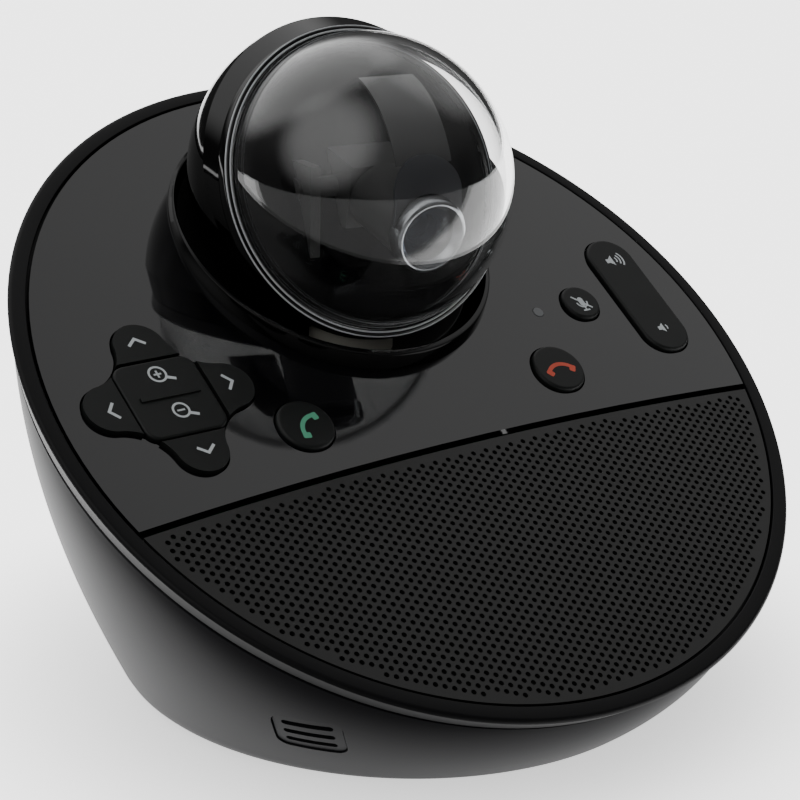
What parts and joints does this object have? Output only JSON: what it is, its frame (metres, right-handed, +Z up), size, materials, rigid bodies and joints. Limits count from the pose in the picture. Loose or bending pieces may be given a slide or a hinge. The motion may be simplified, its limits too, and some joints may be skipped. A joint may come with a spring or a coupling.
{
  "type": "desktop conference pan-tilt camera",
  "caption": "Motorised pan and tilt ball camera with a clear dome, sunk in a round wedge-shaped speakerphone base with a sloping key panel and speaker grille.",
  "frame": {"origin": "centre of the foot, on the table", "axes": "+Z up, -Y the front, which the lens faces and the key panel slopes down to"},
  "size_m": [0.1528, 0.1278, 0.1202],
  "materials": {
    "housing_plastic": "satin moulded, charcoal",
    "bezel_plastic": "fine matt",
    "panel_gloss": "polished black",
    "grille_metal": "painted perforated sheet",
    "key_rubber": "soft, dark grey",
    "shell_gloss": "polished black",
    "trim_chrome": "polished",
    "dome_clear": "clear polycarbonate",
    "lens_glass": "coated optical glass",
    "inner_black": "matt black",
    "steel": "machined",
    "brass_fit": "turned",
    "pcb": "solder mask",
    "flex_film": "polyimide film",
    "foot_rubber": "matt",
    "white_light": "diffusing",
    "speaker_paper": "pulp",
    "gear_plastic": "acetal"
  },
  "bodies": {
    "base": {"lower_housing": "housing_plastic", "bottom_plate": "housing_plastic", "mic_vent_left": "housing_plastic", "mic_vent_right": "housing_plastic", "bezel_ring": "bezel_plastic", "control_panel": "panel_gloss", "speaker_grille": "grille_metal", "speaker_baffle": "inner_black", "speaker_basket": "steel", "speaker_magnet": "steel", "speaker_surround": "foot_rubber", "speaker_cone": "speaker_paper", "rubber_foot": "foot_rubber", "ballast_plate": "steel", "housing_screws": "steel", "key_board": "pcb", "dome_switches": "steel", "key_mat": "key_rubber", "status_light": "white_light", "main_board": "pcb", "port_panel": "inner_black", "power_socket": "inner_black", "usb_socket": "steel", "audio_jack": "inner_black", "mic_capsules": "steel", "head_collar": "shell_gloss", "neck_cup": "inner_black", "pan_bush": "brass_fit", "motor_bracket": "steel", "pan_motor": "steel"},
    "head": {"pan_shaft": "gear_plastic", "pan_gear": "gear_plastic", "ball_shell": "shell_gloss", "shell_band": "shell_gloss", "dome_trim_ring": "shell_gloss", "clear_dome": "dome_clear", "dome_gasket": "foot_rubber", "inner_mask": "shell_gloss", "yoke": "inner_black", "tilt_motor": "steel"},
    "lens_unit": {"lens_carriage": "inner_black", "arch_plate": "flex_film", "sensor_flex": "flex_film", "lens_barrel": "inner_black", "lens_ring": "trim_chrome", "front_lens": "lens_glass", "sensor_board": "pcb", "tilt_gear": "gear_plastic"},
    "pan_pinion_body": {"pan_pinion": "brass_fit"},
    "tilt_pinion_body": {"tilt_pinion": "brass_fit"},
    "answer_key_body": {"answer_key": "key_rubber"},
    "hangup_key_body": {"hangup_key": "key_rubber"},
    "mute_key_body": {"mute_key": "key_rubber"},
    "volume_rocker_body": {"volume_rocker": "key_rubber"},
    "zoom_rocker_body": {"zoom_rocker": "key_rubber"},
    "pan_left_key_body": {"pan_left_key": "key_rubber"},
    "pan_right_key_body": {"pan_right_key": "key_rubber"},
    "tilt_up_key_body": {"tilt_up_key": "key_rubber"},
    "tilt_down_key_body": {"tilt_down_key": "key_rubber"}
  },
  "joints": [
    {"name": "pan", "type": "hinge", "parent": "base", "child": "head", "pos_m": [0, 0.0167, 0.0913], "axis": [0, 0, 1], "range_deg": [-83, 97]},
    {"name": "tilt", "type": "hinge", "parent": "head", "child": "lens_unit", "pos_m": [-0.00051, 0.01253, 0.09205], "axis": [-0.9925, 0.1219, 0], "range_deg": [-4, 50]},
    {"name": "pan_pinion_spin", "type": "hinge", "parent": "base", "child": "pan_pinion_body", "pos_m": [0.0193, 0.0167, 0.0465], "axis": [0, 0, 1], "range_deg": [-380, 330]},
    {"name": "tilt_pinion_spin", "type": "hinge", "parent": "head", "child": "tilt_pinion_body", "pos_m": [0.0106, 0.02097, 0.08389], "axis": [-0.9925, 0.1219, 0], "range_deg": [-165, 16]},
    {"name": "answer_press", "type": "slide", "parent": "base", "child": "answer_key_body", "axis": [0, 0.5592, -0.829], "range_m": [0, 0.0006], "stiffness_N_per_m": 800},
    {"name": "hangup_press", "type": "slide", "parent": "base", "child": "hangup_key_body", "axis": [0, 0.5592, -0.829], "range_m": [0, 0.0006], "stiffness_N_per_m": 800},
    {"name": "mute_press", "type": "slide", "parent": "base", "child": "mute_key_body", "axis": [0, 0.5592, -0.829], "range_m": [0, 0.0006], "stiffness_N_per_m": 800},
    {"name": "pan_left_press", "type": "slide", "parent": "base", "child": "pan_left_key_body", "axis": [0, 0.5592, -0.829], "range_m": [0, 0.0006], "stiffness_N_per_m": 800},
    {"name": "pan_right_press", "type": "slide", "parent": "base", "child": "pan_right_key_body", "axis": [0, 0.5592, -0.829], "range_m": [0, 0.0006], "stiffness_N_per_m": 800},
    {"name": "tilt_up_press", "type": "slide", "parent": "base", "child": "tilt_up_key_body", "axis": [0, 0.5592, -0.829], "range_m": [0, 0.0006], "stiffness_N_per_m": 800},
    {"name": "tilt_down_press", "type": "slide", "parent": "base", "child": "tilt_down_key_body", "axis": [0, 0.5592, -0.829], "range_m": [0, 0.0006], "stiffness_N_per_m": 800},
    {"name": "volume_rock", "type": "hinge", "parent": "base", "child": "volume_rocker_body", "pos_m": [0.0601, 0.00159, 0.06291], "axis": [1, 0, 0], "range_deg": [-2.5, 2.5], "stiffness_Nm_per_rad": 0.4},
    {"name": "zoom_rock", "type": "hinge", "parent": "base", "child": "zoom_rocker_body", "pos_m": [-0.0514, 0.00027, 0.06202], "axis": [1, 0, 0], "range_deg": [-2.5, 2.5], "stiffness_Nm_per_rad": 0.4}
  ],
  "couplings": [
    {"joint": "pan_pinion_spin", "follows": "pan", "ratio": -3.8},
    {"joint": "tilt_pinion_spin", "follows": "tilt", "ratio": -3.2}
  ]
}
